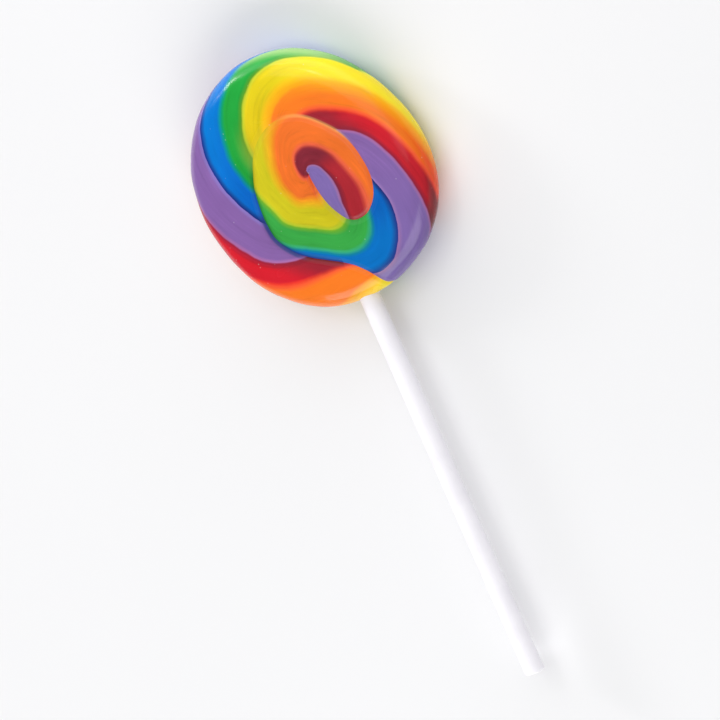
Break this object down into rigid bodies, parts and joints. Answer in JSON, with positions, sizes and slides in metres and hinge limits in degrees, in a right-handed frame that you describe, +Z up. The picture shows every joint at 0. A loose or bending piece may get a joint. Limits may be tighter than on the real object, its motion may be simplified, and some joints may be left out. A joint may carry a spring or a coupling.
{
  "type": "swirl lollipop",
  "caption": "Round flat boiled-sweet lollipop coiled from a rope of rainbow strips, on a plain white stick, lying on its back.",
  "frame": {"origin": "middle of the flat spot under the candy, on the surface it rests on", "axes": "+Z up, out of the shown face; -Y along the stick, away from the candy"},
  "size_m": [0.0498, 0.1282, 0.0108],
  "materials": {
    "candy": "glossy hard candy in purple, red, orange, yellow, green and blue strips",
    "stick": "smooth matt white"
  },
  "bodies": {
    "root": {"candy": "candy", "stick": "stick"}
  },
  "joints": []
}
